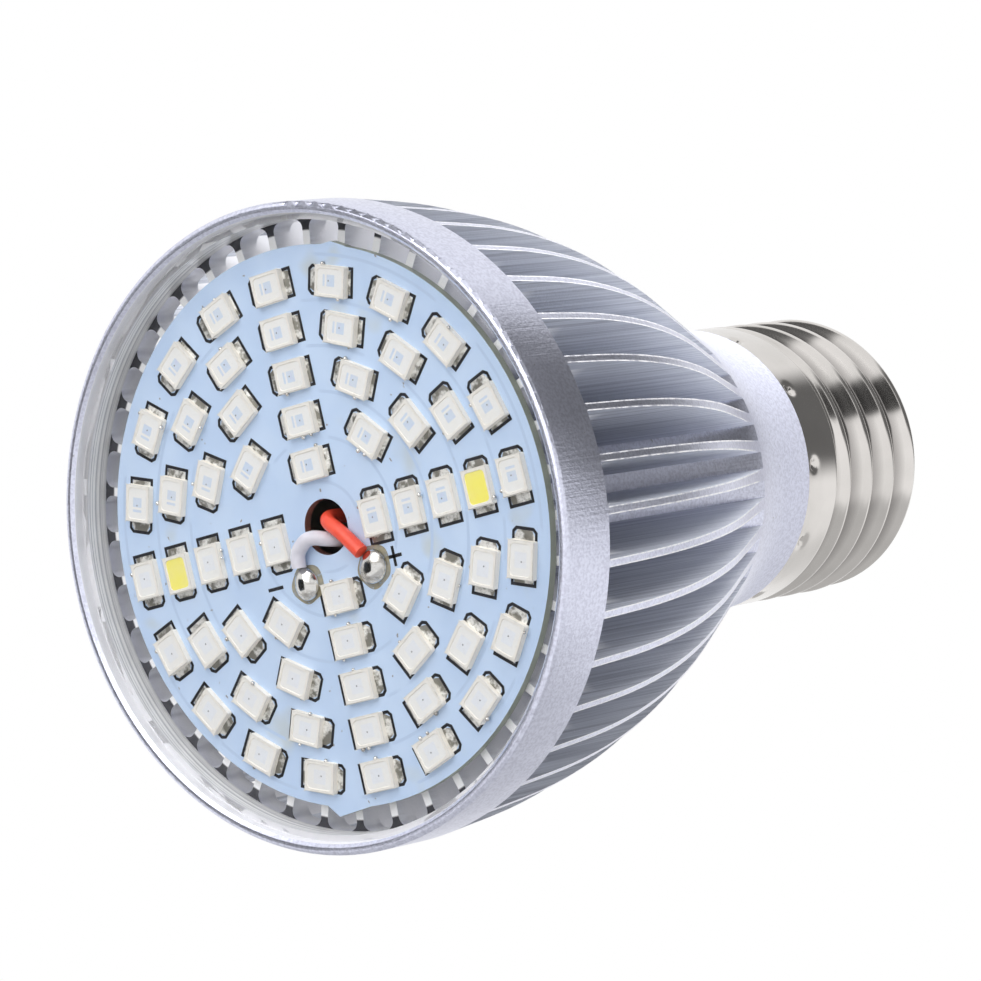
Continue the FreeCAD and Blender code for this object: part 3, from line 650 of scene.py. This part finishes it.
package_cream = make_package_finish("cream_package", (0.80, 0.775, 0.73, 1), (0.66, 0.62, 0.55, 1))
window_cream = make_package_finish("cream_window", (0.80, 0.80, 0.79, 1), (0.74, 0.735, 0.72, 1))
window_yellow = make_package_finish("yellow_phosphor", (0.90, 0.82, 0.16, 1),
                                    (0.88, 0.74, 0.10, 1))
chip_blue = make_package_finish("blue_chip", (0.58, 0.67, 0.80, 1), (0.53, 0.55, 0.76, 1))
chip_pale = make_package_finish("pale_chip", (0.75, 0.775, 0.82, 1), (0.70, 0.70, 0.72, 1))
wire_dot = make_package_finish("wire_dot", (0.14, 0.15, 0.17, 1), (0.3, 0.3, 0.32, 1))
packages = make_packages()
add_piece("red_packages", packages["red"],
          [package_cream, window_cream, chip_blue, wire_dot, chip_pale],
          ["leds_red"])
add_piece("blue_packages", packages["blue"], [package_cream, window_cream, chip_blue, wire_dot],
          ["leds_blue"])
add_piece("white_packages", packages["white"], [package_cream, window_yellow],
          ["leds_white"])

# Round each package the board carries a printed black outline, chamfered at one end, and
# the solder that wets its two lands.
outline_rise = 0.012 * MM
outline_width = 0.28 * MM
outline_chamfer = 0.4 * MM
outline_half = package_width / 2 - 0.03 * MM
land_reach = (0.70 * MM, 0.45 * MM)
land_near = package_length / 2 - 0.35 * MM
land_overlap = 0.02 * MM
land_rise = 0.008 * MM
land_taper = (0.56, 0.112)
solder_rise = 0.10 * MM
print_black = (0.004, 0.004, 0.008, 1)
print_worn = (0.02, 0.024, 0.035, 1)
solder_bright = (0.74, 0.73, 0.71, 1)
solder_dull = (0.46, 0.44, 0.41, 1)
land_dull = (0.26, 0.25, 0.22, 1)
land_bright = (0.88, 0.87, 0.84, 1)
land_speck = (0.30, 0.28, 0.24, 1)


def add_outline(shape):
    """One outline on the axis."""
    long_end = package_length / 2 + land_reach[0] + outline_width
    short_end = package_length / 2 + land_reach[1] + outline_width
    made = bmesh.ops.create_grid(shape, x_segments=1, y_segments=1, size=1)["verts"]
    for vert in made:
        vert.co.x *= outline_half
        vert.co.y = short_end if vert.co.y > 0 else -long_end
        vert.co.z = board_face - outline_rise
    corners = [vert for vert in made if vert.co.y < 0]
    bmesh.ops.bevel(shape, geom=corners, offset=outline_chamfer, segments=1, profile=0.5,
                    affect="VERTICES", material=-1)
    inner = next(iter(shape.faces))
    bmesh.ops.inset_region(shape, faces=[inner], thickness=outline_width, use_boundary=True,
                           use_even_offset=True)
    bmesh.ops.delete(shape, geom=[inner], context="FACES")


def add_lands(shape, chance):
    """The solder on a package's two lands, lumpy in the middle and thin at its rim."""
    for end, reach, taper in zip((-1, 1), land_reach, land_taper):
        far = package_length / 2 + reach + land_overlap
        for vert in bmesh.ops.create_grid(shape, x_segments=7, y_segments=4, size=1)["verts"]:
            out = (vert.co.y + 1) / 2
            side = vert.co.x
            narrow = 1 - taper * max(0.0, out - 0.5)
            rim = min(1.0, (1 - abs(side)) * 3) * min(1.0, (1 - out) * 3)
            lump = chance.uniform(0.2, 1.0) * (1.4 - out)
            vert.co.x = side * (outline_half - outline_width) * narrow
            vert.co.y = end * (land_near + (far - land_near) * out)
            vert.co.z = board_face - land_rise - solder_rise * rim * lump


def face_front(shape):
    """Turns the faces of a flat shape to the bulb's front."""
    bmesh.ops.recalc_face_normals(shape, faces=shape.faces)
    bmesh.ops.reverse_faces(shape, faces=[face for face in shape.faces if face.normal.z > 0])


def make_outlines():
    chance = random.Random(11)
    outlines, all_lands = bmesh.new(), bmesh.new()
    for _, _, radius, angle in led_places():
        single, lands = bmesh.new(), bmesh.new()
        add_outline(single)
        add_lands(lands, chance)
        for part, whole in ((single, outlines), (lands, all_lands)):
            settle(part, part.verts, radius, angle)
            pour_into(whole, part)
    face_front(outlines)
    face_front(all_lands)
    shade_smooth(all_lands)
    return outlines, all_lands


def make_print():
    material, tree, shader = new_material("black_print", {"Roughness": 0.5})
    wear = map_range(tree, object_noise(tree, 3000, 3.0, 0.7), 0.55, 0.75, 0, 0.5)
    tree.links.new(mix_colours(tree, wear, print_black, print_worn), shader.inputs["Base Color"])
    return material


def make_solder():
    material, tree, shader = new_material("bright_solder", {"Metallic": 1.0})
    dull = object_noise(tree, 900, 2.0)
    tree.links.new(mix_colours(tree, map_range(tree, dull, 0.45, 0.6), solder_bright, solder_dull),
                   shader.inputs["Base Color"])
    tree.links.new(map_range(tree, dull, 0.4, 0.7, 0.08, 0.28), shader.inputs["Roughness"])
    return material


def make_land_finish():
    """Thin solder over the lands, bright where it ran and dull with flux elsewhere."""
    material, tree, shader = new_material("wetted_land", {"Metallic": 0.6, "Roughness": 0.35})
    patches = object_noise(tree, (900, 900, 300), 3.0, 0.6)
    speck = object_noise(tree, 4500, 2.0, 0.7)
    toned = mix_colours(tree, map_range(tree, patches, 0.44, 0.56), land_dull, land_bright)
    toned = mix_colours(tree, map_range(tree, speck, 0.5, 0.7, 0, 0.5), toned, land_speck)
    tree.links.new(toned, shader.inputs["Base Color"])
    return material


black_print = make_print()
solder = make_solder()
outline_shape, land_shape = make_outlines()
add_piece("printed_outlines", outline_shape, [black_print])
add_piece("solder_lands", land_shape, [make_land_finish()])

# Reflow left a few small beads of solder on the board. They cling to the sides of the
# packages, none to two beside each.
bead_radius = 0.2 * MM
bead_side = package_width / 2 + 0.08 * MM


def make_beads():
    chance = random.Random(23)
    shape = bmesh.new()
    for _, _, radius, angle in led_places():
        for _ in range(chance.choice((0, 1, 1, 2))):
            made = bmesh.ops.create_icosphere(
                shape, subdivisions=2, radius=bead_radius * chance.uniform(0.7, 1.2))["verts"]
            across = chance.choice((-1, 1)) * bead_side
            along = chance.uniform(-1.2, 1.2) * MM
            height = board_face - chance.uniform(0.15, 0.62) * MM
            bmesh.ops.translate(shape, verts=made, vec=(across, along, height))
            settle(shape, made, radius, angle)
    shade_smooth(shape)
    return shape


add_piece("solder_beads", make_beads(), [solder])

# A plus and a minus stand beside the two solder joints of the leads, printed in the same
# black as the outlines.
mark_stroke = 0.3 * MM
mark_length = 1.75 * MM
mark_strokes = (((7.33, 2.45), (0, 90)), ((-6.12, 5.43), (0,)))


def make_marks():
    shape = bmesh.new()
    for (across, along), turns in mark_strokes:
        for turn in turns:
            made = add_block(shape, mark_length, mark_stroke, board_face - outline_rise, board_face)
            turn_about_axis(shape, made, math.radians(turn) + first_angle)
            bmesh.ops.translate(shape, verts=made, vec=(across * MM, along * MM, 0))
    return shape


add_piece("polarity_marks", make_marks(), [black_print])

# The two leads are soldered to the board by hand: bright rounded blobs in a halo of dried
# yellow flux.
joint_places = ((5.1, 3.35, 1.35, 35), (-2.43, 4.95, 1.25, -10))
joint_rise = 0.95 * MM
joint_rows = 14
joint_columns = 40
flux_margin = 0.5
flux_rise = 0.016 * MM
halo_corners = 64
flux_yellow = (0.40, 0.35, 0.22, 1)


def revolve(points, steps):
    """Spins a chain of points, each a radius and a height, about the bulb's axis."""
    shape = bmesh.new()
    chain = [shape.verts.new((radius, 0, height)) for radius, height in points]
    edges = [shape.edges.new(pair) for pair in zip(chain, chain[1:])]
    bmesh.ops.spin(shape, geom=chain + edges, cent=(0, 0, 0), axis=(0, 0, 1), dvec=(0, 0, 0),
                   angle=math.tau, steps=steps, use_merge=True)
    bmesh.ops.remove_doubles(shape, verts=shape.verts, dist=1e-7)
    return shape


def make_joint(across, along, radius, lean):
    """A blob of revolution, drawn out a little towards its lead."""
    turns = [math.pi / 2 * row / joint_rows for row in range(joint_rows + 1)]
    shape = revolve([(radius * MM * math.cos(turn) ** 0.8, board_face - joint_rise * math.sin(turn))
                     for turn in turns], joint_columns)
    for vert in shape.verts:
        low = (board_face - vert.co.z) / joint_rise
        vert.co.y *= 1.12 + 0.1 * math.sin(3 * low)
        vert.co.x *= 1.0 + 0.05 * math.sin(5 * low + 1)
    turn_about_axis(shape, shape.verts, math.radians(lean))
    bmesh.ops.translate(shape, verts=shape.verts, vec=(across * MM, along * MM, 0))
    bmesh.ops.recalc_face_normals(shape, faces=shape.faces)
    shade_smooth(shape)
    return shape


def make_flux():
    """Dried flux round the joints, thin in patches."""
    material, tree, shader = new_material("dried_flux", {
        "Base Color": flux_yellow, "Roughness": 0.3})
    mottle = object_noise(tree, 1400)
    tree.links.new(map_range(tree, mottle, 0.35, 0.65, 0.45, 0.8), shader.inputs["Alpha"])
    return material


def make_halos():
    shape = bmesh.new()
    for across, along, radius, lean in joint_places:
        made = bmesh.ops.create_circle(shape, cap_ends=True, segments=halo_corners,
                                       radius=(radius + flux_margin) * MM)["verts"]
        for vert in made:
            turn = math.atan2(vert.co.y, vert.co.x)
            swell = 1 + 0.06 * math.sin(2 * turn + lean) + 0.04 * math.sin(5 * turn)
            vert.co.x *= swell
            vert.co.y *= swell
        bmesh.ops.translate(shape, verts=made, vec=(
            across * MM, along * MM, board_face - flux_rise))
    face_front(shape)
    return shape


add_piece("flux_halos", make_halos(), [make_flux()])
add_piece("positive_joint", make_joint(*joint_places[0]), [solder],
          ["solder_joint_positive"])
add_piece("negative_joint", make_joint(*joint_places[1]), [solder],
          ["solder_joint_negative"])

# The leads are stranded wire in soft coloured insulation: a red and a white one to the
# board, and the same pair to the cap.
plastic_relief = 0.03 * MM


def make_plastic(name, colour, shade, roughness, scale=600, strength=0.1):
    """Plain plastic, enamel or paste with a faint mottle."""
    material, tree, shader = new_material(name, {"Roughness": roughness})
    mottle = object_noise(tree, scale)
    tree.links.new(mix_colours(tree, map_range(tree, mottle, 0.35, 0.7), colour, shade),
                   shader.inputs["Base Color"])
    add_bump(tree, shader, mottle, strength, plastic_relief)
    return material


red_insulation = make_plastic("red_insulation", (0.90, 0.10, 0.05, 1), (0.78, 0.06, 0.03, 1),
                              0.36, scale=900, strength=0.15)
white_insulation = make_plastic("white_insulation", (0.72, 0.71, 0.78, 1),
                                (0.62, 0.61, 0.68, 1), 0.36, scale=900, strength=0.15)
for node, finish, slot in (("lead_positive", red_insulation, "red_insulation"),
                           ("lead_negative", white_insulation, "white_insulation"),
                           ("lead_live", red_insulation, "red_insulation"),
                           ("lead_neutral", white_insulation, "white_insulation")):
    add_piece(node + "_wire", smooth_copy(node), [finish], [node])

# The front cover is a flat disc of clear plastic. It is pressed into the seat in the heat
# sink's front ring.
cover_tint = (0.90, 0.94, 1.0, 1)
cover_index = 1.45


def make_clear():
    """Clear plastic: it mirrors what its Fresnel share says and lets the rest through."""
    material, tree, shader = new_material("clear_cover", {
        "Base Color": cover_tint, "Metallic": 1.0})
    smear = object_noise(tree, 60)
    mirror = add_node(tree, "ShaderNodeFresnel", {"IOR": cover_index}).outputs[0]
    behind = add_node(tree, "ShaderNodeNewGeometry").outputs["Backfacing"]
    outside = math_node(tree, "SUBTRACT", 1.0, behind)
    tree.links.new(math_node(tree, "MULTIPLY", mirror, outside), shader.inputs["Alpha"])
    tree.links.new(map_range(tree, smear, 0.3, 0.7, 0.02, 0.06), shader.inputs["Roughness"])
    return material


dress("front_cover", make_clear())

# Inside, out of sight: paste under the board, and the driver in its white housing with
# its board, transformer, capacitors, fuse resistor and chips.
inner_finishes = {
    "thermal_paste": ((0.80, 0.80, 0.80, 1), (0.70, 0.70, 0.70, 1), 0.6),
    "driver_housing": ((0.80, 0.79, 0.76, 1), (0.74, 0.73, 0.70, 1), 0.45),
    "driver_board": ((0.05, 0.20, 0.09, 1), (0.07, 0.26, 0.12, 1), 0.4),
    "transformer_core": ((0.03, 0.03, 0.035, 1), (0.06, 0.06, 0.065, 1), 0.6),
    "transformer_winding": ((0.75, 0.52, 0.03, 1), (0.68, 0.46, 0.02, 1), 0.3),
    "output_capacitor": ((0.01, 0.01, 0.014, 1), (0.02, 0.02, 0.03, 1), 0.3),
    "input_capacitor": ((0.01, 0.012, 0.02, 1), (0.02, 0.024, 0.04, 1), 0.3),
    "fuse_resistor": ((0.10, 0.24, 0.18, 1), (0.13, 0.28, 0.22, 1), 0.55),
    "control_chip": ((0.012, 0.012, 0.013, 1), (0.03, 0.03, 0.03, 1), 0.55),
    "bridge_rectifier": ((0.012, 0.012, 0.013, 1), (0.03, 0.03, 0.03, 1), 0.55),
}
for node, (colour, shade, roughness) in inner_finishes.items():
    dress(node, make_plastic(node + "_finish", colour, shade, roughness))

# The cap shell is drawn from thin sheet and nickel plated. Its skirt is fixed to the neck
# by a row of punch marks, and its thread is rolled into the wall.
shell_low, shell_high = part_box("cap_shell")
cap_rim = shell_low.z
cap_end = shell_high.z
skirt_radius = 13.2 * MM
root_radius = 12.13 * MM
thread_pitch = 3.629 * MM
thread_height = 63.1 * MM
thread_wave = (skirt_radius - root_radius) / 2
groove_start = (60.9 * MM, 62.3 * MM)
groove_end = (74.1 * MM, 75.3 * MM)
shoulder_radius = 1.4 * MM
wall_top = cap_end - shoulder_radius
hole_radius = 9.6 * MM
hole_lip = 0.25 * MM
rim_lip = 0.2 * MM
wall_rows = 132
shoulder_rows = 8
shell_columns = 288
shell_fold = math.radians(50)
punch_count = 11
punch_angle = math.radians(-2.1)
punch_height = 0.9 * MM
punch_size = 0.55 * MM
punch_depth = 0.42 * MM
punch_steepness = 1.6
groove_painted_shade_depth = 0.62 * MM
plate_relief = 0.02 * MM
nickel_bright = (0.76, 0.73, 0.705, 1)
nickel_dull = (0.66, 0.635, 0.61, 1)
# Painted shade in the thread's grooves
groove_painted_shade = (0.20, 0.185, 0.18, 1)


def ease(value, low, high):
    """Nought below the range and one above it, with a smooth way between."""
    share = min(1.0, max(0.0, (value - low) / (high - low)))
    return share * share * (3 - 2 * share)


def thread_radius(height, angle):
    """Radius of the shell's wall: plain skirt, rolled thread, plain end."""
    phase = math.tau * (height - thread_height) / thread_pitch - angle
    wave = root_radius + thread_wave * (1 + math.cos(phase))
    start = ease(height, *groove_start)
    end = ease(height, *groove_end)
    return (skirt_radius * (1 - start) + wave * start) * (1 - end) + root_radius * end


def punch_dent(height, angle):
    """How deep the nearest punch mark is here."""
    spacing = math.tau / punch_count
    off = (angle - punch_angle + spacing / 2) % spacing - spacing / 2
    away = math.hypot(off * skirt_radius, height - cap_rim - punch_height)
    return punch_depth * math.exp(-(away / punch_size) ** 2 * punch_steepness)


def make_shell():
    """A plain drawn shell, whose wall is then moved out to the skirt and the thread."""
    points = [(root_radius - rim_lip, cap_rim)]
    for row in range(wall_rows + 1):
        points.append((root_radius, cap_rim + (wall_top - cap_rim) * row / wall_rows))
    for row in range(1, shoulder_rows + 1):
        turn = math.pi / 2 * row / shoulder_rows
        points.append((root_radius - shoulder_radius * (1 - math.cos(turn)),
                       wall_top + shoulder_radius * math.sin(turn)))
    points += [(hole_radius, cap_end), (hole_radius, cap_end - hole_lip)]
    shape = revolve(points, shell_columns)
    for vert in shape.verts:
        if vert.co.z > wall_top + 1e-7:
            continue
        reach = math.hypot(vert.co.x, vert.co.y)
        angle = math.atan2(vert.co.y, vert.co.x)
        wanted = thread_radius(vert.co.z, angle) - punch_dent(vert.co.z, angle)
        wanted -= root_radius - reach
        vert.co.x *= wanted / reach
        vert.co.y *= wanted / reach
    bmesh.ops.recalc_face_normals(shape, faces=shape.faces)
    shade_smooth(shape, shell_fold)
    return shape


def make_nickel():
    material, tree, shader = new_material("nickel_plate", {"Metallic": 1.0})
    cloud = object_noise(tree, 120)
    drawn = object_noise(tree, (300, 300, 6000))
    plate = mix_colours(tree, map_range(tree, cloud, 0.35, 0.65), nickel_bright, nickel_dull)
    # Painted shade: the shell darkens as it nears the thread's root radius, down in the grooves
    _, reach = off_axis(tree, object_place(tree))
    painted_groove_shade = map_range(tree, reach, root_radius, root_radius + groove_painted_shade_depth, 0.6, 0.0)
    tree.links.new(mix_colours(tree, painted_groove_shade, plate, groove_painted_shade), shader.inputs["Base Color"])
    tree.links.new(map_range(tree, cloud, 0.3, 0.7, 0.12, 0.2), shader.inputs["Roughness"])
    add_bump(tree, shader, drawn, 0.06, plate_relief)
    return material


add_piece("rolled_cap", make_shell(), [make_nickel()], ["cap_shell"])

# The cap's end. A glossy black insulator, moulded into the shell, closes it and holds the
# plated centre contact.
contact_bright = (0.74, 0.71, 0.66, 1)
contact_dull = (0.66, 0.63, 0.58, 1)
dress("cap_insulator", make_plastic("black_insulator", (0.012, 0.012, 0.016, 1),
                                    (0.03, 0.03, 0.035, 1), 0.22))


def make_contact():
    material, tree, shader = new_material("contact_plate", {"Metallic": 1.0})
    wear = object_noise(tree, 700)
    tree.links.new(mix_colours(tree, map_range(tree, wear, 0.4, 0.65), contact_bright,
                               contact_dull), shader.inputs["Base Color"])
    tree.links.new(map_range(tree, wear, 0.3, 0.7, 0.2, 0.36), shader.inputs["Roughness"])
    return material


add_piece("contact_button", smooth_copy("centre_contact"), [make_contact()],
          ["centre_contact"])
